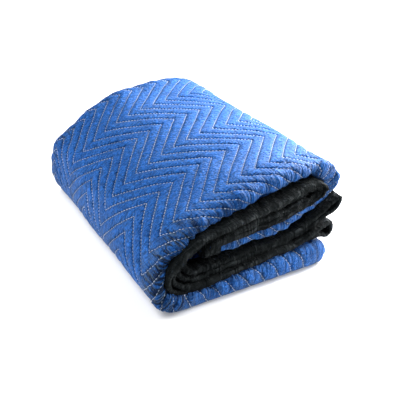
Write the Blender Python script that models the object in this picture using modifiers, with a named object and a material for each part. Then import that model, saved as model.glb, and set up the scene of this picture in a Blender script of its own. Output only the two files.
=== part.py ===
"""Moving blanket, folded into a bundle. Metres, +Z up, near end at -Y, resting on z = 0, with the origin at the
middle of its footprint.

The cloth is one quilted sheet, 80 in long and 72 in wide, bound in tape on its four edges. It is doubled
across its length at a first fold, so that sheet A is outside and sheet B inside, then quartered across its
width, which stacks eight thicknesses, and that strip is rolled over itself in thirds: along the bottom to the
left, over the top to the right, and back to the left between the two.
"""

import bmesh
import bpy
import numpy as np

LINE = 0.0254  # distance between two stitch lines, along the strip
ZIGZAG = 3 * LINE  # reach of a zigzag along the strip, and the distance between two corners across it

SHEET = 0.0022  # thickness of the quilted cloth
SHEET_AT_TAPE = 0.0010  # thickness where the tape's stitches press it
TAPE = 0.0006
TAPE_WIDTH = 0.024  # of each flank of the tape, once it is folded round an edge
TAPE_GAP = 0.00032
PRESSED = 0.026  # how far in from an edge the cloth is pressed thin
PUFFED = 0.042  # how far in it is full again
QUILT_RISE = 0.0013  # crest of the quilting above its stitch lines

NEAR_Y, FAR_Y = -0.226, 0.200  # centre lines of the loops at the two ends
EDGE_Y = -0.239  # where the two bound edges of the strip end
LOOP_FRONT, LOOP_BACK = 0.8, 0.8  # how round the loops at the near and the far end are
MOST_BULGE = 0.027
FOLD_STEPS = 3  # facets of the half turn at the first fold
MIDDLE = (0.0154, -0.0068, 0.0)  # of the footprint, in the coordinates of the tables below

# The strip's section at its two ends, a row for each turn of its path from the first fold. The columns are the
# outer face's x and z and the inner face's x and z, in millimetres, and the share of the stack that the outer
# four thicknesses take.
NEAR = {
    "first fold": (140, -1, 166, 98, 0.42),
    "bottom right": (100, -1, 112, 85, 0.48),
    "bottom middle": (40, -1, 45, 64, 0.52),
    "bottom left": (-40, -1, -40, 58, 0.49),
    "left sole": (-110, -1, -90, 54, 0.46),
    "left heel": (-148, 7, -108, 57, 0.44),
    "left side": (-164, 37, -116, 66, 0.40),
    "left shoulder": (-141, 82, -103, 77, 0.40),
    "left slope": (-97, 115, -76, 87, 0.42),
    "upper left": (-48, 134.5, -44, 102, 0.50),
    "middle": (0, 149, 0, 112, 0.49),
    "upper right": (50, 160, 48, 120, 0.49),
    "crest": (100, 164, 92, 124, 0.47),
    "right shoulder": (142, 153, 106, 127, 0.50),
    "right side": (165, 124, 116, 122, 0.55),
    "right under": (143, 101, 108, 117, 0.56),
    "third right": (104, 85, 91, 116, 0.55),
    "third middle": (55, 69, 50, 109, 0.54),
    "third left": (0, 64, 0, 103, 0.54),
    "inner end": (-58, 62, -54, 96, 0.54),
}
FAR = {
    "first fold": (165, -1, 178, 76, 0.50),
    "bottom right": (130, -1, 132, 70, 0.50),
    "bottom middle": (65, -1, 66, 62, 0.50),
    "bottom left": (-12, -1, -12, 58, 0.50),
    "left sole": (-80, -1, -62, 54, 0.50),
    "left heel": (-114, 7, -78, 57, 0.50),
    "left side": (-129, 38, -85, 66, 0.50),
    "left shoulder": (-118, 80, -78, 77, 0.50),
    "left slope": (-84, 114, -62, 87, 0.50),
    "upper left": (-38, 136, -32, 102, 0.50),
    "middle": (10, 154, 10, 113, 0.50),
    "upper right": (60, 168, 58, 123, 0.50),
    "crest": (110, 175.5, 104, 129, 0.50),
    "right shoulder": (165, 169, 132, 131, 0.50),
    "right side": (195, 138, 145, 124.5, 0.50),
    "right under": (170, 105, 137, 117.5, 0.50),
    "third right": (130, 87, 118, 116, 0.50),
    "third middle": (80, 69, 76, 109, 0.50),
    "third left": (25, 65, 25, 103, 0.50),
    "inner end": (-32, 63, -28, 95.5, 0.50),
}
OUTER_SPACING = np.array([0.0, 0.38, 0.68, 1.0])  # of the outer four thicknesses, inwards
INNER_SPACING = np.array([0.0, 1 / 3, 2 / 3, 1.0])
BETWEEN = 0.12  # share of the stack between the outer four and the inner four

# The cloth across its width: each layer's thickness number on sheet A and on sheet B, 0 being the outermost.
LAYERS = {"edge one": (7, 6), "outer": (0, 1), "return": (3, 2), "edge two": (4, 5)}


def section_table(rows):
    """The rows as an array, with their lengths in metres."""
    return np.array(list(rows.values()), float) * ([0.001] * 4 + [1.0])


NEAR_TABLE, FAR_TABLE = section_table(NEAR), section_table(FAR)
MEAN_PATH = (NEAR_TABLE[:, :2] + FAR_TABLE[:, :2]) / 2
STATIONS = np.concatenate([[0.0], np.cumsum(np.hypot(*np.diff(MEAN_PATH, axis=0).T))])
STRIP = STATIONS[-1]
STATION = dict(zip(NEAR, STATIONS))


def smooth_row(table, s):
    """Each column at length s along the strip: cubic through the rows, with slopes from their neighbours,
    held low enough that it never overshoots a row."""
    step = np.diff(table, axis=0) / np.diff(STATIONS)[:, None]
    least = np.minimum(np.abs(step[:-1]), np.abs(step[1:])) * (step[:-1] * step[1:] > 0)
    slope = np.gradient(table, STATIONS, axis=0)
    slope[1:-1] = np.clip(slope[1:-1], -3 * least, 3 * least)
    i = np.clip(np.searchsorted(STATIONS, s, side="right") - 1, 0, len(STATIONS) - 2)
    span = STATIONS[i + 1] - STATIONS[i]
    t = ((s - STATIONS[i]) / span)[..., None]
    span = span[..., None]
    return (
        (2 * t**3 - 3 * t**2 + 1) * table[i]
        + (t**3 - 2 * t**2 + t) * span * slope[i]
        + (3 * t**2 - 2 * t**3) * table[i + 1]
        + (t**3 - t**2) * span * slope[i + 1]
    )


def strip_section(s, y):
    """Outer point, inner point and share at length s and depth y: the two end sections, mixed along Y."""
    far = np.clip((y - NEAR_Y) / (FAR_Y - NEAR_Y), 0, 1)[..., None]
    row = smooth_row(NEAR_TABLE, s) * (1 - far) + smooth_row(FAR_TABLE, s) * far
    outer, inner, share = np.split(row, [2, 4], axis=-1)
    return outer, inner, share[..., 0]


def depth_of(number, share, stack):
    """Depth of the middle of thickness number in the stack, from 0 at the outer face to 1 at the inner."""
    skin = SHEET / 2 / stack
    outer = OUTER_SPACING[number % 4] * (share - BETWEEN / 2)
    inner = share + BETWEEN / 2 + INNER_SPACING[number % 4] * (1 - share - BETWEEN / 2)
    return skin + (1 - 2 * skin) * np.where(number < 4, outer, inner)


def cloth_point(s, across, rise):
    """Point of a sheet at length s. across gives, for each column of the cloth, its depth y, the two
    thicknesses that it lies between, its angle round the loop that joins them and the loop's roundness.
    A loop is half an ellipse in Y and the stack's depth. rise lifts the point along the outward normal."""
    y, first, second, angle, round_y = across
    outer, inner, share = strip_section(s, y)
    stack = np.linalg.norm(inner - outer, axis=-1)
    a, b = depth_of(first, share, stack), depth_of(second, share, stack)
    depth = (a + b) / 2 + (a - b) / 2 * np.cos(angle)
    bulge = np.clip(np.abs(a - b) * stack / 2 * np.abs(round_y), 0, MOST_BULGE) * np.sign(round_y)
    inward = (inner - outer) / stack[..., None]
    xz = outer + inward * (depth * stack - rise * np.cos(angle))[..., None]
    y = y + (bulge + rise * np.sign(round_y)) * np.sin(angle)
    z = np.maximum(xz[..., 1], SHEET / 2)
    return np.stack([xz[..., 0], y, z], -1)


def zigzag(y):
    """How far the stitch lines stand along the strip at depth y: a triangle wave with 45 degree sides."""
    turn = (y / ZIGZAG + 0.5) / 2
    return ZIGZAG * (0.5 - 2 * np.abs(turn - np.floor(turn) - 0.5))


def across_cloth():
    """The columns of the cloth from its first bound edge to its second: their cloth_point values on sheet A
    and on sheet B, and which of them show outside and so are quilted."""
    edge = [EDGE_Y, EDGE_Y + PRESSED, EDGE_Y + PUFFED]
    quilted = np.arange(2.5, -2.6, -0.5) * ZIGZAG
    turn = np.linspace(0, np.pi, 6)[1:-1]
    tight_turn = np.linspace(0, np.pi, 5)[1:-1]
    parts = [
        (edge + [FAR_Y], "edge one", "edge one", [0.0], 1, False),
        ([FAR_Y], "outer", "edge one", turn[::-1], LOOP_BACK, True),
        ([FAR_Y, *quilted, NEAR_Y], "outer", "outer", [0.0], 1, True),
        ([NEAR_Y], "outer", "return", turn, -LOOP_FRONT, True),
        ([NEAR_Y, FAR_Y], "return", "return", [0.0], 1, False),
        ([FAR_Y], "return", "edge two", tight_turn, LOOP_BACK, False),
        ([FAR_Y] + edge[::-1], "edge two", "edge two", [0.0], 1, False),
    ]
    columns = [
        (y, LAYERS[first], LAYERS[second], angle, round_y, shows)
        for ys, first, second, angles, round_y, shows in parts
        for y in ys
        for angle in angles
    ]
    y, first, second, angle, round_y, shows = (np.array(c) for c in zip(*columns))
    return [(y, first[:, k], second[:, k], angle, round_y) for k in (0, 1)], shows


def strip_rows():
    """Lengths of sheet A's rows and of sheet B's, from the first fold to the inner end, and whether a row of
    sheet A is a crest of the quilting."""
    end = [STRIP - PUFFED, STRIP - PRESSED, STRIP]
    quilted = TOP_MIDDLE + np.arange(-60, 60) * LINE / 2
    keep = (quilted > STATION["left sole"]) & (quilted < STATION["third right"])
    crest = (np.arange(-60, 60) % 2 == 0)[keep]
    quilted = quilted[keep]
    before = np.linspace(0, quilted[0], 3, endpoint=False)
    after = np.linspace(quilted[-1], end[0], 4)[1:-1]
    rows_a = np.concatenate([before, quilted, after, end])
    crest_a = np.concatenate([before < 0, crest, after < 0, [False] * 3])
    runs = [("first fold", "left sole", 2), ("left sole", "left slope", 12), ("left slope", "crest", 5)]
    runs += [("crest", "right shoulder", 2), ("right shoulder", "third right", 9)]
    rows_b = [np.linspace(STATION[a], STATION[b], n, endpoint=False) for a, b, n in runs]
    rows_b += [np.linspace(STATION["third right"], end[0], 2, endpoint=False), end]
    return rows_a, crest_a, np.concatenate(rows_b)


def top_length(y):
    """Length along the strip at which its top is at x = 0, at depth y."""
    s = np.linspace(STATION["left slope"], STATION["crest"], 200)
    return np.interp(0.0, strip_section(s, np.full_like(s, y))[0][:, 0], s)


def fade(s, start, end):
    """0 before start, 1 past end, smooth between."""
    t = np.clip((s - start) / (end - start), 0, 1)
    return t * t * (3 - 2 * t)


TOP_MIDDLE = top_length(0.0)


def cloth_grid():
    """The middle surface of the cloth as rows of points, from sheet B's inner end, round the first fold, to
    sheet A's inner end, and how full the cloth is at each point, from 0 where it is pressed to 1."""
    (across_a, across_b), shows = across_cloth()
    rows_a, crest, rows_b = strip_rows()
    y = across_a[0]
    stitch_shift = zigzag(y) + np.array([top_length(v) for v in y]) - TOP_MIDDLE
    stitch_shift *= shows * (1 + np.cos(across_a[3])) / 2
    s = rows_a[:, None] + np.zeros(len(y))
    follows = fade(s, STATION["left side"], STATION["left slope"])
    follows *= 1 - fade(s, STATION["crest"], STATION["right side"])
    s = s + stitch_shift * follows
    s[0], s[-3:] = 0, rows_a[-3:, None]
    rise = QUILT_RISE * (crest[:, None] & shows).astype(float)
    sheet_a = cloth_point(s, across_a, rise)
    sheet_b = cloth_point(rows_b[:, None] + np.zeros(len(y)), across_b, 0.0)
    fold = first_fold(sheet_a, sheet_b)
    points = np.concatenate([sheet_b[::-1], fold, sheet_a]) - MIDDLE
    full = np.ones(points.shape[:2])
    full[:, [0, 1, -2, -1]] = 0
    full[[0, 1, -2, -1]] = 0
    return points, full


def first_fold(sheet_a, sheet_b):
    """The half turn that joins the two sheets at the strip's start, a half circle on each column."""
    back = sheet_a[0] - sheet_a[1]
    back /= np.linalg.norm(back, axis=-1, keepdims=True)
    middle, half = (sheet_a[0] + sheet_b[0]) / 2, (sheet_a[0] - sheet_b[0]) / 2
    radius = np.linalg.norm(half, axis=-1, keepdims=True)
    angles = np.linspace(np.pi, 0, FOLD_STEPS + 1)[1:-1]
    return np.array([middle + half * np.cos(a) + back * radius * np.sin(a) for a in angles])


def sheet_object(name, points, thickness, material, full=None, pressed=1.0):
    """A Blender grid carried onto the rows of points and given its thickness about its middle."""
    rows, columns = points.shape[:2]
    mesh = bpy.data.meshes.new(name)
    bm = bmesh.new()
    bmesh.ops.create_grid(bm, x_segments=columns - 1, y_segments=rows - 1, size=1)
    place = np.array([v.co[:2] for v in bm.verts])
    column = np.rint((place[:, 0] + 1) / 2 * (columns - 1)).astype(int)
    row = np.rint((place[:, 1] + 1) / 2 * (rows - 1)).astype(int)
    for vertex, point in zip(bm.verts, points[row, column]):
        vertex.co = point
    bm.to_mesh(mesh)
    bm.free()
    mesh.materials.append(material)
    mesh.shade_smooth()
    made = bpy.data.objects.new(name, mesh)
    folder.objects.link(made)
    solid = made.modifiers.new("Thickness", "SOLIDIFY")
    solid.thickness = thickness
    solid.offset = 0
    solid.use_even_offset = True
    if full is not None:
        group = made.vertex_groups.new(name="full")
        for index, weight in enumerate(full[row, column]):
            group.add([index], float(weight), "REPLACE")
        solid.vertex_group = group.name
        solid.thickness_vertex_group = pressed
    return made


def tape_round(edge, inside):
    """A channel of tape round an edge of the cloth: a flank, the edge's end and the other flank, mitred where
    the edge turns."""
    inward = inside - edge
    inward /= np.linalg.norm(inward, axis=-1, keepdims=True)
    step = np.diff(edge, axis=0)
    step /= np.linalg.norm(step, axis=-1, keepdims=True)
    along = np.concatenate([step[:1], (step[:-1] + step[1:]) / 2, step[-1:]])
    mitre = 1 / np.linalg.norm(along, axis=-1, keepdims=True)
    normal = np.cross(along, inward)
    normal *= mitre / np.linalg.norm(normal, axis=-1, keepdims=True)
    off = TAPE_GAP + TAPE / 2
    side = SHEET_AT_TAPE / 2 + off
    corners = [(TAPE_WIDTH, side), (-off, side), (-off, -side), (TAPE_WIDTH, -side)]
    return np.stack([edge + inward * a + normal * b for a, b in corners], axis=1)


def fabric(name, colour, roughness):
    material = bpy.data.materials.new(name)
    material.use_nodes = True
    shader = material.node_tree.nodes["Principled BSDF"]
    shader.inputs["Base Color"].default_value = (*colour, 1)
    shader.inputs["Roughness"].default_value = roughness
    return material


def main():
    blue = fabric("quilted blue fabric", (0.03, 0.10, 0.42), 0.9)
    black = fabric("black woven tape", (0.012, 0.012, 0.013), 0.7)
    points, full = cloth_grid()
    sheet_object("quilted_cloth", points, SHEET, blue, full, SHEET_AT_TAPE / SHEET)
    long_edge = points[1:-1]
    for name, edge, inside in (
        ("long_edge_tape_one", long_edge[:, 0], long_edge[:, 1]),
        ("long_edge_tape_two", long_edge[:, -1], long_edge[:, -2]),
        ("end_tape_outer", points[-1], points[-2]),
        ("end_tape_inner", points[0], points[1]),
    ):
        sheet_object(name, tape_round(edge, inside), TAPE, black)


for old in list(bpy.data.objects):
    bpy.data.objects.remove(old)
folder = bpy.data.collections.new("moving_blanket")
bpy.context.scene.collection.children.link(folder)
main()
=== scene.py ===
"""Looks of a folded moving blanket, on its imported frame: quilted blue cloth, white stitching, black binding.

The cloth is one sheet with two parameters: u runs along the folded strip, from the inner end of sheet B
(negative), round the first fold (zero), to the inner end of sheet A, and each column stands at a fixed place
across it. Every piece is worked out from the same mapping, so the stitches and the binding lie on the cloth.
"""

import bpy
import numpy as np
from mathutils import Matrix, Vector


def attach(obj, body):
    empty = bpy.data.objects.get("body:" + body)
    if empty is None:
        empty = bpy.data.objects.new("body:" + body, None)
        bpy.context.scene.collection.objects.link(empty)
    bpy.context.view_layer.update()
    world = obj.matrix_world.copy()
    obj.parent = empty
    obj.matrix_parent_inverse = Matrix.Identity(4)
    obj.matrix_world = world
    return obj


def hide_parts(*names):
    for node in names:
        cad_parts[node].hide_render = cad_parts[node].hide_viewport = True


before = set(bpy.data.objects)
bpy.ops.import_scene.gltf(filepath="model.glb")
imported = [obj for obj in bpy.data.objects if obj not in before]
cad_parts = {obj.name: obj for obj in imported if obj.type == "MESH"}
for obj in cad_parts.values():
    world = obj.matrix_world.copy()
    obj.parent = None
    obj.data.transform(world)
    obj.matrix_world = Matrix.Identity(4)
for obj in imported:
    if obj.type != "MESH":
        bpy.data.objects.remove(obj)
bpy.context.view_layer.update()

# ---------------------------------------------------------------- sizes, in metres
MM = 0.001  # a millimetre
LINE = 0.0254  # distance between two stitch lines, along the strip
ZIGZAG = 3 * LINE  # reach of a zigzag, and the distance between two of its corners across the strip
SHEET = 0.0020  # thickness of the cloth between its two faces
SKIN = 0.0011  # depth of the outermost middle surface under the stack's face
NEAR_Y, FAR_Y = -0.226, 0.200  # centre lines of the loops at the two ends
EDGE_Y = -0.239  # where the two bound edges of the strip end
LOOP_ROUND = 0.8  # reach of a loop, as a share of half the distance between the two layers that it joins
MOST_BULGE = 0.027  # the furthest that a loop reaches
MOUTH_HOLLOW = 1.1  # share of its bulge that the near loop loses at the right side, past 1 a hollow
FOOT_PUSH = 0.014  # how much further the near end's loops reach at the floor
FOOT_SQUARE = 0.25  # how much squarer than an ellipse they are there
TUCKED = 0.006  # how much less far the near loop of sheet B reaches, next to sheet A's round it
FOLD_HALF = 0.004  # half the length of cloth in the first fold's turn
MIDDLE = np.array((0.0154, -0.0068, 0.0))  # of the footprint, in the tables' coordinates

QUILT_RISE = 0.0024  # of the middle of a channel over its stitch lines
GATHER_RISE = 0.0023  # of the gathers, where their noise is 1 and the cloth is taken in by 1
LINE_WAVER = 0.0016  # how far the stitch lines stray to each side
STITCH_PITCH, STITCH_LENGTH = 0.0054, 0.0040  # from stitch to stitch, and of one stitch
THREAD = 0.00070  # radius of a stitch
TAPE_WIDTH = 0.024  # from the bound edge to where the tape is sewn down
TAPE_THICK = 0.0007  # thickness of the tape
TAPE_NOSE = 0.0025  # half the height of the tape's profile, about
TAPE_MIDDLE = 0.0274  # from the tape's sewn edge, over one flank, to the middle of its nose
TAPE_FURROW = 0.009  # from there to the dark furrow along each flank

# The strip's section at its two ends, a row for each turn of its path from the first fold. The columns are
# the outer face's x and z and the inner face's x and z, in millimetres, and the share of the stack that the
# outer four thicknesses take.
NEAR = {
    "first fold": (123, -1, 158, 103, 0.36),
    "bottom right": (96, -1, 112, 76, 0.56),
    "bottom middle": (40, -1, 45, 60, 0.60),
    "bottom left": (-40, -1, -40, 58, 0.49),
    "left sole": (-110, -1, -90, 54, 0.46),
    "left heel": (-152, 7, -108, 57, 0.44),
    "left side": (-168, 37, -116, 66, 0.34),
    "left shoulder": (-141, 82, -105, 80, 0.34),
    "left slope": (-97, 115, -80, 91, 0.40),
    "upper left": (-48, 134.5, -44, 103, 0.52),
    "middle": (0, 149, 0, 111, 0.49),
    "upper right": (50, 160, 48, 120, 0.49),
    "crest": (100, 164, 92, 124, 0.47),
    "right shoulder": (149, 156, 106, 127, 0.53),
    "right side": (175, 125, 116, 122, 0.63),
    "right under": (154, 103, 108, 117, 0.66),
    "third right": (104, 84, 91, 115, 0.59),
    "third middle": (55, 68, 50, 108, 0.55),
    "third left": (0, 64, 0, 103, 0.56),
    "inner end": (-78, 65, -74, 91, 0.64),
}
FAR = {
    "first fold": (165, -1, 178, 76, 0.50),
    "bottom right": (130, -1, 132, 70, 0.50),
    "bottom middle": (65, -1, 66, 62, 0.50),
    "bottom left": (-12, -1, -12, 58, 0.50),
    "left sole": (-80, -1, -62, 54, 0.50),
    "left heel": (-109, 7, -78, 57, 0.50),
    "left side": (-124, 46, -85, 68, 0.50),
    "left shoulder": (-121, 88, -78, 79, 0.50),
    "left slope": (-87, 119, -62, 89, 0.50),
    "upper left": (-41, 150, -32, 105, 0.50),
    "middle": (8, 168, 10, 116, 0.50),
    "upper right": (58, 176, 58, 125, 0.50),
    "crest": (110, 178, 104, 129, 0.50),
    "right shoulder": (165, 169, 132, 131, 0.50),
    "right side": (195, 138, 145, 124.5, 0.50),
    "right under": (170, 105, 137, 117.5, 0.50),
    "third right": (130, 87, 118, 116, 0.50),
    "third middle": (80, 69, 76, 109, 0.50),
    "third left": (25, 65, 25, 103, 0.50),
    "inner end": (-50, 63, -46, 91, 0.50),
}
OUTER_SPACING = np.array([0.0, 0.38, 0.68, 1.0])  # of the outer four thicknesses, inwards
INNER_SPACING = np.array([0.0, 1 / 3, 2 / 3, 1.0])
BETWEEN = 0.125  # share of the stack between the outer four and the inner four

# How the four thicknesses that end in tape stand at the near end, from number 4 to 7: how far each sticks out
# towards -Y, then how far each droops, in millimetres.
LEAN = {
    "first fold": (5, 4, 4, 6, 0, 0, 0, 0),
    "bottom right": (5, 8, -1, -3, 0, 4, 3, 5),
    "bottom left": (5, 8, -1, -4, 1, 6, 4, 6),
    "left heel": (4, 5, 2, 0, 2, 3, 2, 1),
    "left side": (8, 3, 0, -2, 0, 0, 0, 0),
    "left slope": (6, 2, -2, -4, 3, 2, 1, 0),
    "upper left": (8, 4, 1, -2, 8, 6, 4, 2),
    "middle": (9, 5, 2, -1, 13, 10, 7, 4),
    "upper right": (7, 5, 3, 1, 15, 12, 9, 5),
    "crest": (5, 4, 3, 2, 8, 6, 4, 2),
    "right side": (6, 4, 2, 0, 0, 0, 0, 0),
    "third right": (3, 4, 4, 5, 0, 0, -1, -2),
    "inner end": (2, 3, 2, 0, 0, 0, 0, 0),
}
LEAN_REACH = 0.042  # how far in from the edge the lean begins

# How full the long edges' tape is, as a share of its height.
BULK = {
    "first fold": 0.9,
    "left heel": 1.0,
    "left slope": 0.9,
    "middle": 0.75,
    "crest": 0.6,
    "right side": 0.5,
    "third right": 0.6,
    "inner end": 0.8,
}

# The cloth across its width: each layer's thickness number on sheet A and on sheet B, 0 being the outermost.
LAYERS = {"edge one": (7, 6), "outer": (0, 1), "return": (3, 2), "edge two": (4, 5)}


# ---------------------------------------------------------------- arithmetic
def ease(x, start, end):
    """0 before start and 1 past end, with 3t^2 - 2t^3 between, t being the share of the way."""
    t = np.clip((x - start) / (end - start), 0, 1)
    return t * t * (3 - 2 * t)


def unit(v):
    """The vectors along the last axis, divided by their lengths."""
    return v / np.maximum(np.linalg.norm(v, axis=-1, keepdims=True), 1e-12)


def arc_length(points):
    """The length along a line of points, from the first up to each."""
    return np.concatenate([[0.0], np.cumsum(np.linalg.norm(np.diff(points, axis=0), axis=1))])


def soft_noise(x, y, seed):
    """Value noise from -1 to 1: random values on a unit lattice, blended with 3t^2 - 2t^3 in each cell."""
    size = 256
    lattice = np.random.default_rng(seed).uniform(-1, 1, (size, size))
    i, j = np.floor(x).astype(int), np.floor(y).astype(int)
    fx, fy = ease(x - i, 0, 1), ease(y - j, 0, 1)
    i0, i1, j0, j1 = i % size, (i + 1) % size, j % size, (j + 1) % size
    low = lattice[i0, j0] * (1 - fx) + lattice[i1, j0] * fx
    high = lattice[i0, j1] * (1 - fx) + lattice[i1, j1] * fx
    return low * (1 - fy) + high * fy


# ---------------------------------------------------------------- how the cloth is folded
def section_table(rows):
    """The rows as an array, with their lengths in metres."""
    return np.array(list(rows.values()), float) * ([MM] * 4 + [1.0])


NEAR_TABLE, FAR_TABLE = section_table(NEAR), section_table(FAR)
MEAN_PATH = (NEAR_TABLE[:, :2] + FAR_TABLE[:, :2]) / 2
STATIONS = np.concatenate([[0.0], np.cumsum(np.hypot(*np.diff(MEAN_PATH, axis=0).T))])
STRIP = STATIONS[-1]
STATION = dict(zip(NEAR, STATIONS))


def smooth_row(table, s):
    """Each column at length s: cubic Hermite through the rows, with slopes from their neighbours held low
    enough that it never overshoots a row."""
    step = np.diff(table, axis=0) / np.diff(STATIONS)[:, None]
    least = np.minimum(np.abs(step[:-1]), np.abs(step[1:])) * (step[:-1] * step[1:] > 0)
    slope = np.gradient(table, STATIONS, axis=0)
    slope[1:-1] = np.clip(slope[1:-1], -3 * least, 3 * least)
    i = np.clip(np.searchsorted(STATIONS, s, side="right") - 1, 0, len(STATIONS) - 2)
    span = (STATIONS[i + 1] - STATIONS[i])[..., None]
    t = (s - STATIONS[i])[..., None] / span
    return (
        (2 * t**3 - 3 * t**2 + 1) * table[i]
        + (t**3 - 2 * t**2 + t) * span * slope[i]
        + (3 * t**2 - 2 * t**3) * table[i + 1]
        + (t**3 - t**2) * span * slope[i + 1]
    )


def strip_section(s, y):
    """Outer point, inner point and share at length s and depth y: the two end sections, mixed along Y."""
    far = np.clip((y - NEAR_Y) / (FAR_Y - NEAR_Y), 0, 1)[..., None]
    row = smooth_row(NEAR_TABLE, s) * (1 - far) + smooth_row(FAR_TABLE, s) * far
    outer, inner, share = np.split(row, [2, 4], axis=-1)
    return outer, inner, share[..., 0]


def depth_of(number, share, stack):
    """Depth of the middle of thickness number in the stack, from 0 at the outer face to 1 at the inner."""
    skin = SKIN / stack
    outer = OUTER_SPACING[number % 4] * (share - BETWEEN / 2)
    inner = share + BETWEEN / 2 + INNER_SPACING[number % 4] * (1 - share - BETWEEN / 2)
    return skin + (1 - 2 * skin) * np.where(number < 4, outer, inner)


def lean_of(s, number):
    """How far thickness number sticks out and droops at length s: the LEAN rows joined by straight lines, and
    a slow waver of up to 2.5 mm."""
    at = [STATION[name] for name in LEAN]
    rows = MM * np.array(list(LEAN.values()), float)
    which = np.broadcast_to(np.clip(number - 4, 0, 3), s.shape)[..., None]
    joined = np.stack([np.interp(s, at, column) for column in rows.T], -1)
    out = np.take_along_axis(joined, which, -1)[..., 0]
    down = np.take_along_axis(joined, which + 4, -1)[..., 0]
    place = np.broadcast_to(9.7 * number, s.shape)
    out = out + 0.0016 * soft_noise(s / 0.019, place, 61) + 0.0009 * soft_noise(s / 0.008, place, 62)
    return out, down + 0.0012 * soft_noise(s / 0.015, place, 63) + 0.0007 * soft_noise(s / 0.007, place, 64)


def end_shares(y, number):
    """The shares of the lean and of the foot's push at depth y. A bound edge leans from LEAN_REACH before its
    end, evenly up to 1 there. The other thicknesses are pushed, with an eased start, up to 1 at NEAR_Y."""
    bound = number > 3
    return bound * np.clip(1 - (y - EDGE_Y) / LEAN_REACH, 0, 1), ~bound * ease(-y, 0.10, -NEAR_Y)


def layer_point(s, columns, sheet):
    """Point of sheet 0 or 1, which are A and B, at length s. A loop is half an ellipse in Y and the stack's
    depth, a little squarer and further out at the near foot, and hollow at the near end's right side. The
    near loop of sheet B is tucked into sheet A's. A bound edge leans."""
    y, angle, side = columns["y"], columns["angle"], columns["round"]
    outer, inner, share = strip_section(s, y + 0 * s)
    stack = np.linalg.norm(inner - outer, axis=-1)
    a = depth_of(columns["first"][:, sheet], share, stack)
    b = depth_of(columns["second"][:, sheet], share, stack)
    at_foot = 1 - ease(s, STATION["left side"], STATION["left shoulder"])
    power = 1 - FOOT_SQUARE * at_foot
    turned = np.sign(np.cos(angle)) * np.abs(np.cos(angle)) ** power
    depth = (a + b) / 2 + (a - b) / 2 * turned
    bulge = np.clip(np.abs(a - b) * stack / 2 * LOOP_ROUND, 0, MOST_BULGE) * side
    at_mouth = ease(s, STATION["crest"], STATION["right side"])
    at_mouth = at_mouth * (1 - ease(s, STATION["right under"], STATION["third right"]))
    bulge = bulge * (1 - MOUTH_HOLLOW * at_mouth * (side < 0)) * np.abs(np.sin(angle)) ** power
    xz = outer + (inner - outer) * depth[..., None]
    out, down = lean_of(s + 0 * y, columns["first"][:, sheet])
    tucked = TUCKED * sheet * ease(s, 0.0, 0.06)
    y = y + (tucked - FOOT_PUSH * at_foot) * columns["push"] + bulge - out * columns["lean"]
    return np.stack([xz[..., 0], y, xz[..., 1] - down * columns["lean"]], -1)


def cloth_point(u, columns):
    """Point of the cloth at u: sheet A where u is positive, sheet B where it is negative, and a half circle
    between the two near zero."""
    s = np.clip(np.abs(u) - FOLD_HALF, 0, STRIP)
    point = np.where((u > 0)[..., None], layer_point(s, columns, 0), layer_point(s, columns, 1))
    start = np.zeros_like(u)
    on_a, on_b = layer_point(start, columns, 0), layer_point(start, columns, 1)
    back = unit(on_a - layer_point(start + 0.01, columns, 0))
    half = (on_a - on_b) / 2
    turn = (u / FOLD_HALF * np.pi / 2)[..., None]
    radius = np.linalg.norm(half, axis=-1, keepdims=True)
    round_fold = (on_a + on_b) / 2 + half * np.sin(turn) + back * radius * np.cos(turn)
    return np.where((np.abs(u) < FOLD_HALF)[..., None], round_fold, point) - MIDDLE


def zigzag(y):
    """How far the stitch lines stand along the strip at depth y: a triangle wave with 45 degree sides."""
    turn = (y / ZIGZAG + 0.5) / 2
    return ZIGZAG * (0.5 - 2 * np.abs(turn - np.floor(turn) - 0.5))


def top_length(y):
    """Length along the strip at which its top is at x = 0, at depth y."""
    s = np.linspace(STATION["left slope"], STATION["crest"], 200)
    return np.interp(0.0, strip_section(s, np.full_like(s, y))[0][:, 0], s)


TOP_MIDDLE = top_length(0.0)


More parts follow.
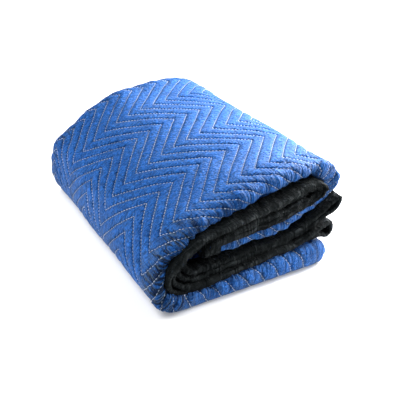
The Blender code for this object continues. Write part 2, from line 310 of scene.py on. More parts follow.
def make_columns():
    """The columns of the cloth from its first bound edge to its second, as a dict of arrays: y, the two
    thicknesses joined, the angle round their loop, the loop's side, whether the column is on the outer layer
    or a loop next to it, its share of the edges' lean and of the foot's push, the flat distance from the
    first edge, how far the stitches stand there, and the distances past the outer layer's two ends."""
    edge = [EDGE_Y, EDGE_Y + 0.005, EDGE_Y + 0.012, EDGE_Y + 0.022, EDGE_Y + 0.034, -0.15, 0.0]
    quilted = np.arange(2.5, -2.51, -1 / 12) * ZIGZAG
    near_run = np.linspace(-2.5 * ZIGZAG, NEAR_Y, 9)[1:]
    # Each run's depths, the two layers it joins, its angles, the loop's side, and whether it can be seen.
    runs = [
        (edge + [FAR_Y], "edge one", "edge one", [0.0], 0, False),
        ([FAR_Y], "outer", "edge one", np.linspace(np.pi, 0, 12)[1:-1], 1, True),
        ([FAR_Y, *quilted, *near_run], "outer", "outer", [0.0], 0, True),
        ([NEAR_Y], "outer", "return", np.linspace(0, np.pi, 22)[1:-1], -1, True),
        ([NEAR_Y, -0.2, 0.0, FAR_Y], "return", "return", [0.0], 0, False),
        ([FAR_Y], "return", "edge two", np.linspace(0, np.pi, 7)[1:-1], 1, False),
        ([FAR_Y] + edge[::-1], "edge two", "edge two", [0.0], 0, False),
    ]
    rows = [
        (y, LAYERS[first], LAYERS[second], angle, side, shows)
        for ys, first, second, angles, side, shows in runs
        for y in ys
        for angle in angles
    ]
    names = ("y", "first", "second", "angle", "round", "shows")
    columns = {name: np.array(values) for name, values in zip(names, zip(*rows))}
    columns["lean"], columns["push"] = end_shares(columns["y"], columns["first"][:, 0])
    columns["flat"] = arc_length(layer_point(np.full(len(rows), TOP_MIDDLE), columns, 0))
    on_outer = columns["shows"] & (columns["round"] == 0)
    start, end = np.flatnonzero(on_outer)[[0, -1]]
    past_far = columns["flat"][start] - columns["flat"]
    past_near = columns["flat"] - columns["flat"][end]
    quickened = 1.5  # the zigzag runs on round the near loop this much faster
    flat_y = np.where(past_near > 0, NEAR_Y - quickened * past_near, columns["y"])
    flat_y = np.where(past_far > 0, FAR_Y + past_far, flat_y)
    kept = 1 - ease(np.maximum(past_far, past_near), 0.05, 0.35)
    skew = np.array([top_length(v) for v in columns["y"]]) - TOP_MIDDLE
    columns["shift"] = (zigzag(flat_y) + skew) * kept
    columns["past_near"], columns["past_far"] = past_near, past_far
    return columns


def make_rows():
    """u of the cloth's rows, and each row's place in its channel of the quilting, from 0 on one stitch line
    to 1 on the next. Rows stand closer near the stitch lines."""
    in_channel = np.array([0.0, 0.06, 0.16, 0.32, 0.5, 0.68, 0.84, 0.94])
    first = np.floor(-TOP_MIDDLE / LINE) + 1
    channels = np.arange(first, np.floor((STRIP - 0.02 - TOP_MIDDLE) / LINE) + 1)
    quilted = TOP_MIDDLE + (channels[:, None] + in_channel).ravel() * LINE
    phase = np.tile(in_channel, len(channels))
    keep = (quilted > 0.006) & (quilted < STRIP - 0.006)
    hidden = np.linspace(-STRIP - FOLD_HALF, -0.012, 78)  # on sheet B
    turn = np.array([-0.008, -0.004, -0.0027, -0.0013, 0, 0.0013, 0.0027, 0.004])
    u = np.concatenate([hidden, turn, quilted[keep] + FOLD_HALF, [STRIP + FOLD_HALF]])
    plain = [((x - FOLD_HALF - TOP_MIDDLE) / LINE) % 1 for x in (*hidden, *turn)]
    return u, np.concatenate([plain, phase[keep], [0.0]])


# ---------------------------------------------------------------- how the cloth's face stands up
def surface_normals(points):
    """Unit normals of a grid of points: along the rows crossed with along the columns, A's face outwards."""
    along = np.gradient(points, axis=0)
    across = np.gradient(points, axis=1)
    return unit(np.cross(across, along))


def quilting(phase, u, columns):
    """Puff of the channels: a half sine between two stitch lines to the power of 0.42, uneven from place to
    place, and small puckers that run off the stitch lines. Out of sight it goes down to 0.3 of that."""
    flat = columns["flat"] + 0 * u
    puff = np.sin(np.pi * phase) ** 0.42
    uneven = 1 + 0.3 * soft_noise(u / 0.03, flat / 0.05, 3)
    pucker = soft_noise(u / 0.05 + 40, flat / 0.0075, 4) * (0.35 + 0.65 * np.abs(2 * phase - 1))
    height = QUILT_RISE * (puff * uneven + 0.16 * pucker)
    return height * (0.3 + 0.7 * columns["show"])


def heel_of(u):
    """1 from the strip's left heel to its left shoulder, where the cloth is taken in most, and 0 away from
    them."""
    return ease(u, STATION["bottom left"], STATION["left heel"]) * (
        1 - ease(u, STATION["left shoulder"], STATION["upper left"])
    )


def taken_in(u, columns):
    """How much the cloth is taken in: 1 on the loops at the near end and half that at the far end, gone 5 or
    6 cm to each side of them, and under the stack only on the upper half of the loop. At the left heel it is
    1.7 times as much."""
    near, far = columns["past_near"], columns["past_far"]
    under = 1 - ease(u, STATION["left sole"], STATION["left side"])
    at_near = ease(near, 0.052 * under - 0.05, 0.026 * under) * (1 - ease(near, 0.03, 0.06))
    at_far = ease(far, -0.05, 0.0) * (1 - ease(far, 0.03, 0.06))
    return np.maximum(at_near, 0.5 * at_far) * (1 + 0.7 * heel_of(u))


def gathers(u, columns):
    """Folds that run round the loops at the two ends: a ridged noise and a wider plain one, both along the
    strip, where the cloth is taken in, and flat again where the layer turns back between its neighbours."""
    flat = columns["flat"]
    wave = 1 - 2 * np.abs(soft_noise(u / 0.011 + flat / 0.09, flat / 0.05, 7))
    wide = soft_noise(u / 0.027 - flat / 0.12, flat / 0.08, 8)
    loop_only = 1 - ease(columns["past_near"], 0.016, 0.036)
    return GATHER_RISE * (0.75 * wave + 0.9 * wide) * taken_in(u, columns) * loop_only


def slack(u, columns):
    """Slow unevenness of the whole cloth: a noise of 1.6 mm on cells of 7 by 9 cm, and one of 0.9 mm on cells
    half that size."""
    flat = columns["flat"]
    return 0.0016 * soft_noise(u / 0.07, flat / 0.09, 11) + 0.0009 * soft_noise(u / 0.035, flat / 0.04, 12)


def cloth_surface(u, phase, columns):
    """Points of the cloth's middle surface with its quilting, gathers and slack, and its normals. These rises
    fade out under the tape and on sheet B, which lies inside sheet A, and down to a fifth on the floor."""
    base = cloth_point(u, columns)
    normals = surface_normals(base)
    rise = quilting(phase, u, columns) + gathers(u, columns) + slack(u, columns) * columns["show"]
    under_tape, off_tape = 0.018, 0.045
    kept = ease(columns["edge"], under_tape, off_tape) * ease(STRIP - np.abs(u), under_tape, off_tape)
    kept = kept * (0.2 + 0.8 * ease(base[..., 2], 0.001, 0.016)) * ease(u, -0.08, -0.03)
    points = base + normals * (rise * kept)[..., None]
    points[..., 2] = np.maximum(points[..., 2], SHEET / 2)
    return points, surface_normals(points)


def finish_columns(columns):
    """Adds to each column show, which is 1 on the quilted outside, and edge, its flat distance from the
    nearer bound edge."""
    columns["show"] = 1 - ease(np.maximum(columns["past_near"], columns["past_far"]), 0.03, 0.075)
    columns["edge"] = np.minimum(columns["flat"], columns["flat"][-1] - columns["flat"])
    return columns


# ---------------------------------------------------------------- meshes
def link(made):
    """Puts an object in the scene."""
    bpy.context.scene.collection.objects.link(made)


def grid_mesh(name, points, material, maps, weights=None):
    """A mesh of quads through a grid of points, row by row, with its UV maps and point weights."""
    rows, cols = points.shape[:2]
    index = np.arange(rows * cols).reshape(rows, cols)
    quads = np.stack([index[:-1, :-1], index[:-1, 1:], index[1:, 1:], index[1:, :-1]], -1).reshape(-1, 4)
    mesh = bpy.data.meshes.new(name)
    mesh.from_pydata(points.reshape(-1, 3), [], quads)
    for key, uv in maps.items():
        layer = mesh.uv_layers.new(name=key)
        layer.data.foreach_set("uv", uv.reshape(-1, 2)[quads.ravel()].ravel())
    for key, values in (weights or {}).items():
        mesh.attributes.new(key, "FLOAT", "POINT").data.foreach_set("value", values.ravel())
    return add_mesh(name, mesh, material)


def add_mesh(name, mesh, material):
    """An object of the mesh, smooth shaded, in the material, riding on the body."""
    mesh.materials.append(material)
    mesh.shade_smooth()
    made = bpy.data.objects.new(name, mesh)
    link(made)
    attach(made, "root")
    return made


def thicken(made, thickness):
    """Gives a surface its thickness, half to each side."""
    solid = made.modifiers.new("Thickness", "SOLIDIFY")
    solid.thickness = thickness
    solid.offset = 0


def stitched_columns(columns):
    """The indices of the columns that the stitch lines run over."""
    return np.flatnonzero(columns["show"] > 0.25)


def sheet_of_cloth(material):
    """The whole cloth, with two UV maps in metres: "seam" along a stitch line and across it, and "flat" along
    the strip and across its width. Its point weight is 0.75 of how much it is taken in, and half as much again
    at the left heel; in the material it sets the bump and the painted shade of the creases. The rows follow
    the zigzags, but not near the inner end or on sheet B."""
    columns = finish_columns(make_columns())
    rows, phase = make_rows()
    follows = (ease(STRIP - np.abs(rows), 0.0, 0.13) * ease(rows, -0.05, 0.03))[:, None]
    waver = soft_noise(rows[:, None] / 0.05, columns["flat"] / 0.028, 15) * columns["show"]
    u = rows[:, None] + (columns["shift"] + LINE_WAVER * waver) * follows
    phase = phase[:, None] + 0 * u
    points, normals = cloth_surface(u, phase, columns)
    step = np.linalg.norm(np.diff(points, axis=1), axis=-1)
    along = np.concatenate([np.zeros((len(rows), 1)), np.cumsum(step, axis=1)], axis=1)
    along -= along[:, [stitched_columns(columns)[0]]]
    maps = {
        "seam": np.stack([along, (rows - FOLD_HALF - TOP_MIDDLE)[:, None] + 0 * u], -1),
        "flat": np.stack([u, columns["flat"] + 0 * u], -1),
    }
    # The extra weight at the left heel deepens the creases' bump and paints their shade darker there.
    weights = {"gather": 0.75 * taken_in(u, columns) * (1 + 0.5 * heel_of(u))}
    made = grid_mesh("quilted_blanket", points, material, maps, weights)
    thicken(made, SHEET)
    return made, points, normals, rows, phase, columns


def stitches_along(lines, normals, radius, pitch, length, seed):
    """Spindles of thread along each line: their middles a pitch apart on the line's arc length, give or take
    4 hundredths of it, and their ends dipped into the cloth. Each has four rings of four points. Returns an
    array (stitch, ring, side, 3)."""
    rng = np.random.default_rng(seed)
    starts, ends, ups = [], [], []
    for line, normal in zip(lines, normals):
        run = arc_length(line)
        at = np.arange(pitch, run[-1] - pitch, pitch)
        at = at + rng.uniform(-0.04, 0.04, len(at)) * pitch
        for store, offset in ((starts, -0.5), (ends, 0.5)):
            place = at + offset * length
            store.append(np.stack([np.interp(place, run, line[:, k]) for k in range(3)], -1))
        ups.append(np.stack([np.interp(at, run, normal[:, k]) for k in range(3)], -1))
    start, end, up = (np.concatenate(parts) for parts in (starts, ends, ups))
    up = unit(up)
    side = unit(np.cross(end - start, up))
    steps = np.array([0.0, 0.25, 0.75, 1.0])
    wide = np.array([0.25, 1.0, 1.0, 0.25]) * radius
    lift = np.array([-0.3, 0.5, 0.5, -0.3]) * radius
    turn = np.arange(4) * np.pi / 2
    middle = start[:, None] + (end - start)[:, None] * steps[:, None] + up[:, None] * lift[:, None]
    round_thread = side[:, None, None] * np.cos(turn)[:, None] + up[:, None, None] * np.sin(turn)[:, None]
    return middle[:, :, None] + round_thread * wide[:, None, None]


def thread_mesh(name, rings, material):
    """One mesh of closed spindles from their rings: quads between rings and a quad over each end."""
    count, steps, sides = rings.shape[:3]
    index = np.arange(count * steps * sides).reshape(count, steps, sides)
    turned = np.roll(index, -1, axis=2)
    walls = np.stack([index[:, :-1], turned[:, :-1], turned[:, 1:], index[:, 1:]], -1).reshape(-1, 4)
    caps = np.concatenate([index[:, 0, ::-1], index[:, -1]])
    mesh = bpy.data.meshes.new(name)
    mesh.from_pydata(rings.reshape(-1, 3), [], np.concatenate([walls, caps]))
    return add_mesh(name, mesh, material)


def fold_lines():
    """Stitch lines on the layers under the outer one, where they turn at the first fold: zigzags about the
    line u = n * LINE, kept where they are less than 3 cm from the turn. Yields each piece and its normals."""
    y = np.linspace(EDGE_Y + 0.034, FAR_Y - 0.012, 160)
    for layer, way in (("edge one", 1), ("return", 1), ("edge two", -1)):
        number = np.tile(LAYERS[layer], (len(y), 1))
        columns = {"y": y, "first": number, "second": number, "angle": 0 * y, "round": 0 * y}
        columns["lean"], columns["push"] = end_shares(y, number[:, 0])
        for n in range(-4, 4):
            u = (n * LINE + zigzag(y))[None]
            line = cloth_point(u, columns)[0]
            along = cloth_point(u + 0.0005, columns)[0] - line
            normal = unit(np.cross(np.gradient(line, axis=0) * way, along))
            near_turn = np.flatnonzero(np.abs(u[0]) < 0.03)
            for piece in np.split(near_turn, np.flatnonzero(np.diff(near_turn) > 1) + 1):
                if len(piece) > 6:
                    yield line[piece] + normal[piece] * (SHEET / 2 + 0.0007), normal[piece]


def quilting_thread(material, points, normals, rows, phase, columns):
    """White stitches on every stitch line of the outside of sheet A, and round the first fold."""
    lift = SHEET / 2 + 0.0003
    seen = stitched_columns(columns)
    on_line = np.flatnonzero((phase[:, 0] == 0) & (rows > 0.01) & (rows < STRIP - 0.05))
    lines = [points[r, seen] + normals[r, seen] * lift for r in on_line]
    ups = [normals[r, seen] for r in on_line]
    for line, up in fold_lines():
        lines.append(line)
        ups.append(up)
    rings = stitches_along(lines, ups, THREAD, STITCH_PITCH, STITCH_LENGTH, 5)
    return thread_mesh("quilting_stitches", rings, material)


def binding_section():
    """Profile of the tape round an edge, as distance inwards and height: a flank, half an ellipse round the
    edge and the other flank, dipping where the tape is sewn down."""
    inwards = np.array([*(TAPE_WIDTH * share for share in (1.0, 0.9, 0.8, 0.6, 0.4, 0.2)), 0.002])
    height = TAPE_NOSE * np.array([0.8, 0.72, 0.78, 0.95, 1.05, 1.1, 1.05])
    turn = np.linspace(np.pi / 2, -np.pi / 2, 9)[1:-1]
    nose = np.stack([0.001 - 1.2 * TAPE_NOSE * np.cos(turn), 1.05 * TAPE_NOSE * np.sin(turn)], -1)
    flank = np.stack([inwards, height], -1)
    return np.concatenate([flank, nose, flank[::-1] * (1, -1)])


def binding(name, edge, inside, material, seed, bulk=1.0):
    """Tape carried along an edge: its profile stands on the edge's inward direction and the cloth's normal,
    with soft crossways wrinkles. bulk scales its height, at each point of the edge. Its UV map "seam" has the
    length along the edge and the length round the profile, in metres."""
    inward = unit(inside - edge)
    along = unit(np.gradient(edge, axis=0))
    normal = unit(np.cross(along, inward))
    inward = unit(np.cross(normal, along))
    section = binding_section()
    across, length = np.meshgrid(arc_length(section), arc_length(edge))
    side = np.sign(section[:, 1])
    wrinkle = 0.0008 * (1 + soft_noise(length / 0.012 + across / 0.03, across / 0.02, seed))
    wrinkle += 0.0004 * (1 + soft_noise(length / 0.008 + across / 0.012, across / 0.008, seed + 1))
    height = (section[:, 1] + wrinkle * side) * np.broadcast_to(bulk, len(edge))[:, None]
    points = edge[:, None] + inward[:, None] * section[:, 0, None] + normal[:, None] * height[..., None]
    uv = np.stack([length, across], -1)
    made = grid_mesh(name, points, material, {"seam": uv})
    thicken(made, TAPE_THICK)
    return made


def edge_paths(u, columns):
    """The cloth's two long edges, and the line just inside each, at the strip lengths u."""
    points = cloth_point(u[:, None] + 0 * columns["y"], columns)
    return (points[:, 0], points[:, 2]), (points[:, -1], points[:, -3])


def all_binding(material, columns):
    """The four tapes: one on each long edge, round the first fold too, and one on each end of the cloth."""
    end = STRIP + FOLD_HALF
    run = np.arange(0.012, end, 0.0035)
    u = np.concatenate([[-end], -run[::-1], np.linspace(-0.009, 0.009, 13), run, [end]])
    one, two = edge_paths(u, columns)
    ends = cloth_point(np.array([[-end], [0.02 - end], [end], [end - 0.02]]) + 0 * columns["y"], columns)
    bulk = np.interp(np.abs(u), [STATION[name] for name in BULK], list(BULK.values()))
    return {
        "long_edge_tape_one": binding("binding_long_edge_one", *one, material, 21, bulk),
        "long_edge_tape_two": binding("binding_long_edge_two", *two, material, 31, bulk),
        "end_tape_inner": binding("binding_inner_end", ends[0], ends[1], material, 41),
        "end_tape_outer": binding("binding_outer_end", ends[2], ends[3], material, 51),
    }


# ---------------------------------------------------------------- materials
# Base colours, linear.
BLUE_DARK, BLUE_LIGHT = (0.003, 0.058, 0.27), (0.030, 0.158, 0.54)  # the yarn's two tones
BLUE_PATCH = (0.005, 0.075, 0.34)  # where the nap is brushed another way
BLUE_SEAM_SHADE, BLUE_HOLE_SHADE = (0.003, 0.028, 0.14), (0.002, 0.008, 0.03)  # painted shade along the seams and round the needle holes
BLUE_CREASE_SHADE = (0.002, 0.012, 0.06)  # painted shade between the gathers
THREAD_DARK, THREAD_LIGHT = (0.36, 0.48, 0.72), (0.68, 0.76, 0.92)
TAPE_DARK, TAPE_LIGHT = (0.002, 0.0026, 0.0029), (0.014, 0.0165, 0.0175)
# Painted shade in the tape's creases, folds and furrows.
TAPE_CREASE_SHADE = (0.0003, 0.0003, 0.0003)


def new_material(name):
    """A new material, its node tree and its Principled node."""
    material = bpy.data.materials.new(name)
    material.use_nodes = True
    return material, material.node_tree, material.node_tree.nodes["Principled BSDF"]


def give(tree, made, inputs):
    """Fills a node's inputs, given by name or number: a socket is linked to, and anything else is set."""
    for key, value in inputs.items():
        if isinstance(value, bpy.types.NodeSocket):
            tree.links.new(value, made.inputs[key])
        else:
            made.inputs[key].default_value = value


def node(tree, kind, inputs=None, **settings):
    """A new node with its settings and its inputs."""
    made = tree.nodes.new(kind)
    for key, value in settings.items():
        setattr(made, key, value)
    give(tree, made, inputs or {})
    return made


def maths(tree, operation, *values):
    """A Math node's output, its inputs given as numbers or as sockets."""
    return node(tree, "ShaderNodeMath", dict(enumerate(values)), operation=operation).outputs[0]


def noise(tree, vector, scale, detail=2.0, roughness=0.5, distortion=0.0):
    """A Noise Texture's value, from 0 to 1."""
    inputs = {"Vector": vector, "Scale": scale, "Detail": detail}
    inputs.update({"Roughness": roughness, "Distortion": distortion})
    return node(tree, "ShaderNodeTexNoise", inputs).outputs[0]


def from_to(tree, value, low, high, to_low=0.0, to_high=1.0):
    """A value carried from the range low..high to the range to_low..to_high, with eased ends."""
    inputs = {"Value": value, "From Min": low, "From Max": high, "To Min": to_low, "To Max": to_high}
    return node(tree, "ShaderNodeMapRange", inputs, interpolation_type="SMOOTHSTEP").outputs[0]


def mixed(tree, factor, first, second):
    """A Mix node's colour, its two colours given as sockets or as three numbers."""
    inputs = {"Factor": factor}
    for key, colour in (("A", first), ("B", second)):
        inputs[key] = colour if isinstance(colour, bpy.types.NodeSocket) else (*colour, 1)
    return node(tree, "ShaderNodeMix", inputs, data_type="RGBA").outputs["Result"]


def new_group(name, inputs, outputs):
    """An empty node group with its named sockets, and its inner ends: what it is given, what it puts out."""
    group = bpy.data.node_groups.new(name, "ShaderNodeTree")
    for way, sockets in (("INPUT", inputs), ("OUTPUT", outputs)):
        for key, kind in sockets.items():
            group.interface.new_socket(key, in_out=way, socket_type="NodeSocket" + kind)
    return group, group.nodes.new("NodeGroupInput").outputs, group.nodes.new("NodeGroupOutput").inputs


def crease_group():
    """Creases in a cloth: a noise, with its coordinates scaled by Stretch, put out as Height from 0 to 1, and
    Line, which is 0 where the noise passes its middle value and 1 once it is Line Width away from it."""
    inputs = {"Vector": "Vector", "Stretch": "Vector", "Detail": "Float", "Distortion": "Float"}
    inputs["Line Width"] = "Float"
    group, given, puts_out = new_group("cloth creases", inputs, {"Height": "Float", "Line": "Float"})
    stretched = node(group, "ShaderNodeMapping", {"Vector": given["Vector"], "Scale": given["Stretch"]})
    height = noise(group, stretched.outputs[0], 1.0, given["Detail"], 0.5, given["Distortion"])
    off_line = maths(group, "ABSOLUTE", maths(group, "SUBTRACT", height, 0.5))
    line = from_to(group, off_line, 0.0, given["Line Width"])
    group.links.new(height, puts_out["Height"])
    group.links.new(line, puts_out["Line"])
    return group


def tone_group():
    """Two tones of one yarn: a fine noise, put out as Value, mixes Dark and Light into Color as it goes from
    Low to High."""
    inputs = {"Vector": "Vector", "Scale": "Float", "Detail": "Float", "Roughness": "Float"}
    inputs.update({"Low": "Float", "High": "Float", "Dark": "Color", "Light": "Color"})
    group, given, puts_out = new_group("two-tone yarn", inputs, {"Color": "Color", "Value": "Float"})
    value = noise(group, given["Vector"], given["Scale"], given["Detail"], given["Roughness"])
    share = from_to(group, value, given["Low"], given["High"])
    group.links.new(mixed(group, share, given["Dark"], given["Light"]), puts_out["Color"])
    group.links.new(value, puts_out["Value"])
    return group


def creases(tree, vector, stretch, detail=2.0, distortion=0.5, line_width=0.03):
    """The outputs of the crease group, placed in a material."""
    inputs = {"Vector": vector, "Stretch": (*stretch, 1.0), "Detail": detail, "Distortion": distortion}
    inputs["Line Width"] = line_width
    return node(tree, "ShaderNodeGroup", inputs, node_tree=CREASES).outputs


def two_tones(tree, vector, scale, dark, light, detail=3.0, roughness=0.5, low=0.3, high=0.7):
    """The outputs of the two-tone group, placed in a material."""
    inputs = {"Vector": vector, "Scale": scale, "Detail": detail, "Roughness": roughness}
    inputs.update({"Low": low, "High": high, "Dark": (*dark, 1), "Light": (*light, 1)})
    return node(tree, "ShaderNodeGroup", inputs, node_tree=TWO_TONES).outputs


def blue_fabric():
    """Brushed polyester: matt, fuzzy, mottled in two blues, with painted shade in the stitch lines, at the
    needle holes and between the creases where the cloth is taken in, with fine puckers that run off the seams,
    and with painted light and shade that darken its low places and lighten its high ones. The bump's height is
    a weighted sum of the puckers, the yarn, dimples, creases, holes and grooves, and the painted light and
    shade follow the same sum before the last three."""
    material, tree, shader = new_material("brushed blue polyester")
    place = node(tree, "ShaderNodeTexCoord").outputs["Object"]
    seam = node(tree, "ShaderNodeUVMap", uv_map="seam").outputs["UV"]
    flat = node(tree, "ShaderNodeUVMap", uv_map="flat").outputs["UV"]
    gather = node(tree, "ShaderNodeAttribute", attribute_name="gather").outputs["Fac"]

    # Distances in metres from the nearest stitch line and from the nearest needle hole.
    split = node(tree, "ShaderNodeSeparateXYZ", {"Vector": seam})
    channel = maths(tree, "FRACT", maths(tree, "DIVIDE", split.outputs["Y"], LINE))
    off_middle = maths(tree, "ABSOLUTE", maths(tree, "SUBTRACT", channel, 0.5))
    from_seam = maths(tree, "MULTIPLY", maths(tree, "SUBTRACT", 0.5, off_middle), LINE)
    stitch = maths(tree, "FRACT", maths(tree, "DIVIDE", split.outputs["X"], STITCH_PITCH))
    from_hole = maths(tree, "MULTIPLY", maths(tree, "SUBTRACT", stitch, 0.5), STITCH_PITCH)
    across_hole = node(tree, "ShaderNodeCombineXYZ", {"X": from_hole, "Y": from_seam}).outputs[0]
    hole_distance = node(tree, "ShaderNodeVectorMath", {0: across_hole}, operation="LENGTH").outputs["Value"]
    hole = from_to(tree, hole_distance, 0.0004, 0.0012, 1.0, 0.0)
    groove = from_to(tree, from_seam, 0.0, 0.0048, 1.0, 0.0)

    yarn = two_tones(tree, place, 320.0, BLUE_DARK, BLUE_LIGHT, roughness=0.7)
    dimple = creases(tree, place, (170.0, 170.0), distortion=0.8)["Height"]
    pucker = creases(tree, seam, (300.0, 75.0), distortion=0.6)["Height"]
    crease = creases(tree, flat, (260.0, 30.0), detail=3.0)["Height"]
    fold = creases(tree, flat, (120.0, 22.0), distortion=1.2)["Height"]
    folds = maths(tree, "ADD", maths(tree, "MULTIPLY", crease, 0.7), maths(tree, "MULTIPLY", fold, 1.7))

    patch = from_to(tree, noise(tree, place, 30.0, 3.0), 0.35, 0.65, 0.0, 0.4)
    tone = mixed(tree, patch, yarn["Color"], BLUE_PATCH)
    # Painted shade: the tone darkens in the grooves along the stitch lines and round the needle holes.
    tone = mixed(tree, maths(tree, "MULTIPLY", groove, 0.6), tone, BLUE_SEAM_SHADE)
    tone = mixed(tree, maths(tree, "MULTIPLY", hole, 0.9), tone, BLUE_HOLE_SHADE)
    # Painted shade: the tone darkens between the creases where the cloth is taken in, more so at the left
    # heel.
    shade = from_to(tree, folds, 0.90, 1.28, 0.85, 0.0)
    tone = mixed(tree, maths(tree, "MULTIPLY", shade, gather), tone, BLUE_CREASE_SHADE)
    near_seam = from_to(tree, from_seam, 0.001, 0.009, 1.0, 0.15)
    drawn = maths(tree, "MULTIPLY", maths(tree, "SUBTRACT", pucker, 0.5), near_seam)
    height = maths(tree, "MULTIPLY", drawn, 4.6)
    height = maths(tree, "MULTIPLY_ADD", yarn["Value"], 1.8, height)
    height = maths(tree, "MULTIPLY_ADD", dimple, 2.6, height)
    # Painted light and shade from the relief, with some of the yarn's own random tone: the tone is scaled from
    # 0.6 in the low places of the puckers, yarn and dimples up to 1.36 on their high ones.
    painted_relief_shading = from_to(tree, height, 1.45, 2.95, 0.6, 1.36)
    tone = node(tree, "ShaderNodeVectorMath", {0: tone, "Scale": painted_relief_shading}, operation="SCALE").outputs[0]
    height = maths(tree, "MULTIPLY_ADD", maths(tree, "MULTIPLY", folds, gather), 5.8, height)
    height = maths(tree, "MULTIPLY_ADD", hole, -0.5, height)
    height = maths(tree, "MULTIPLY_ADD", groove, -0.9, height)
    bump = node(tree, "ShaderNodeBump", {"Height": height, "Strength": 1.0, "Distance": 0.0019})
    finish = {"Base Color": tone, "Normal": bump.outputs[0], "Roughness": 0.55}
    finish.update({"Specular IOR Level": 0.18, "Specular Tint": (0.5, 0.8, 1.0, 1)})
    finish.update({"Sheen Weight": 0.16, "Sheen Roughness": 0.3, "Sheen Tint": (0.55, 0.82, 1.0, 1)})
    give(tree, shader, finish)
    return material


def white_thread():
    """White polyester thread that has picked up some of the cloth's blue."""
    material, tree, shader = new_material("white polyester thread")
    place = node(tree, "ShaderNodeTexCoord").outputs["Object"]
    yarn = two_tones(tree, place, 60.0, THREAD_DARK, THREAD_LIGHT, low=0.2, high=0.8)
    give(tree, shader, {"Base Color": yarn["Color"], "Roughness": 0.6})
    return material


def black_tape():
    """Black woven polyester: a fine crossed weave, sharp creases, crumples, pressed folds across the tape and
    a furrow along each flank, all duller than the tape between and darkened with painted shade, and rubbed
    places, paler. The bump's height is a weighted sum of the weave, how far the tape is from all these lines,
    and the crumples again."""
    material, tree, shader = new_material("black woven binding")
    place = node(tree, "ShaderNodeTexCoord").outputs["Object"]
    seam = node(tree, "ShaderNodeUVMap", uv_map="seam").outputs["UV"]
    weave = {"Vector": seam, "Scale": 500.0, "Distortion": 0.4}
    along = node(tree, "ShaderNodeTexWave", weave, bands_direction="X").outputs["Fac"]
    across = node(tree, "ShaderNodeTexWave", {**weave, "Scale": 400.0}, bands_direction="Y").outputs["Fac"]
    yarn = two_tones(tree, place, 45.0, TAPE_DARK, TAPE_LIGHT, detail=4.0, low=0.2, high=0.8)
    crease = creases(tree, seam, (110.0, 28.0), detail=3.0, distortion=0.9, line_width=0.06)["Line"]
    pressed = creases(tree, seam, (70.0, 9.0))["Line"]
    crumple = creases(tree, place, (65.0, 65.0), detail=2.0, distortion=1.1, line_width=0.16)["Line"]

    # How clear of every line: 0.2 in the furrow and 1 off it, times a like value for each kind of crease.
    place_across = node(tree, "ShaderNodeSeparateXYZ", {"Vector": seam}).outputs["Y"]
    from_nose = maths(tree, "ABSOLUTE", maths(tree, "SUBTRACT", place_across, TAPE_MIDDLE))
    from_furrow = maths(tree, "ABSOLUTE", maths(tree, "SUBTRACT", from_nose, TAPE_FURROW))
    clear = from_to(tree, from_furrow, 0.0, 0.0011, 0.2, 1.0)
    for line, least in ((crease, 0.15), (pressed, 0.1), (crumple, 0.35)):
        clear = maths(tree, "MULTIPLY", clear, maths(tree, "MULTIPLY_ADD", line, 1 - least, least))

    height = maths(tree, "MULTIPLY", maths(tree, "MULTIPLY", along, across), 0.10)
    height = maths(tree, "MULTIPLY_ADD", clear, 0.55, height)
    height = maths(tree, "MULTIPLY_ADD", crumple, 0.5, height)
    bump = node(tree, "ShaderNodeBump", {"Height": height, "Strength": 1.0, "Distance": 0.0075})
    rubbed = from_to(tree, noise(tree, place, 60.0, 3.0), 0.35, 0.65, 0.4, 1.0)
    pale = maths(tree, "MULTIPLY", clear, rubbed)
    # Painted shade: the tape goes towards the crease colour wherever it is near a furrow or crease.
    finish = {"Base Color": mixed(tree, pale, TAPE_CREASE_SHADE, yarn["Color"]), "Normal": bump.outputs[0]}
    finish["Roughness"] = from_to(tree, pale, 0.0, 1.0, 1.0, 0.5)
    finish.update({"Specular IOR Level": 0.2, "Specular Tint": (0.72, 0.92, 1.0, 1)})
    give(tree, shader, finish)
    return material


# ---------------------------------------------------------------- the set
def aim_at(made, place, aim):
    """Stands a lamp or the camera at a place, looking at another."""
    made.location = place
    made.rotation_euler = (Vector(aim) - Vector(place)).to_track_quat("-Z", "Y").to_euler()


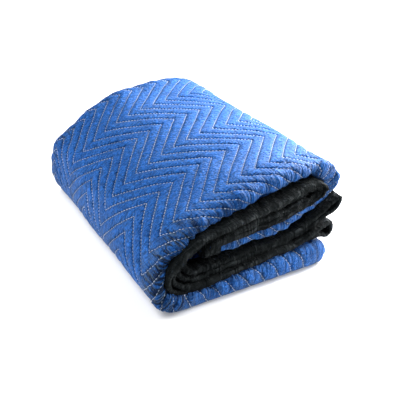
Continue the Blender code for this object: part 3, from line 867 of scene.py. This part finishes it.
def make_floor():
    """A square of white paper, 12 m across, that glows a little."""
    material, tree, shader = new_material("white paper")
    give(tree, shader, {"Base Color": (0.78, 0.78, 0.78, 1), "Roughness": 0.9})
    give(tree, shader, {"Emission Color": (1, 1, 1, 1), "Emission Strength": 0.19})
    mesh = bpy.data.meshes.new("floor")
    half = 6.0
    corners = [(-half, -half, 0), (half, -half, 0), (half, half, 0), (-half, half, 0)]
    mesh.from_pydata(corners, [], [(0, 1, 2, 3)])
    mesh.materials.append(material)
    floor = bpy.data.objects.new("floor", mesh)
    link(floor)


def area_light(name, place, aim, size, power):
    """A white square lamp of the given side, in metres, and power, in watts, that no camera sees."""
    lamp = bpy.data.lights.new(name, "AREA")
    lamp.shape, lamp.size, lamp.energy = "SQUARE", size, power
    made = bpy.data.objects.new(name, lamp)
    aim_at(made, place, aim)
    made.visible_camera = False
    link(made)


def make_studio():
    """Two large lights low on the right, one behind the other, a small one close to the right end, a wide one
    overhead on the left, and a pale sky."""
    area_light("key", (2.1, 0.8, 0.82), (0.05, 0, 0.1), 0.9, 74)
    area_light("side", (2.15, -0.75, 0.72), (0.1, -0.1, 0.08), 0.8, 50)
    area_light("right glow", (0.66, -0.16, 0.47), (0.13, -0.14, 0.14), 0.3, 19)
    area_light("overhead fill", (-1.2, 0.55, 1.9), (0, 0, 0.08), 1.8, 66)
    world = bpy.data.worlds.new("pale sky")
    world.use_nodes = True
    sky = world.node_tree.nodes["Background"]
    give(world.node_tree, sky, {"Color": (1.0, 1.0, 1.0, 1), "Strength": 0.22})
    bpy.context.scene.world = world
    bpy.context.scene.view_settings.view_transform = "Standard"


def make_camera():
    """The camera, with its lens and sensor width in millimetres."""
    data = bpy.data.cameras.new("camera")
    data.lens, data.sensor_width = 70.3, 36.0
    camera = bpy.data.objects.new("camera", data)
    aim_at(camera, (-0.6193, -1.0292, 0.6380), (-0.0390, -0.1281, 0.1016))
    link(camera)
    bpy.context.scene.camera = camera


# ---------------------------------------------------------------- the blanket
CREASES, TWO_TONES = crease_group(), tone_group()
blue, thread, tape = blue_fabric(), white_thread(), black_tape()
cloth, *laid = sheet_of_cloth(blue)
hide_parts("quilted_cloth")
stitching = quilting_thread(thread, *laid)
bindings = all_binding(tape, laid[-1])
for node_name, piece in bindings.items():
    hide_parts(node_name)

make_floor()
make_studio()
make_camera()
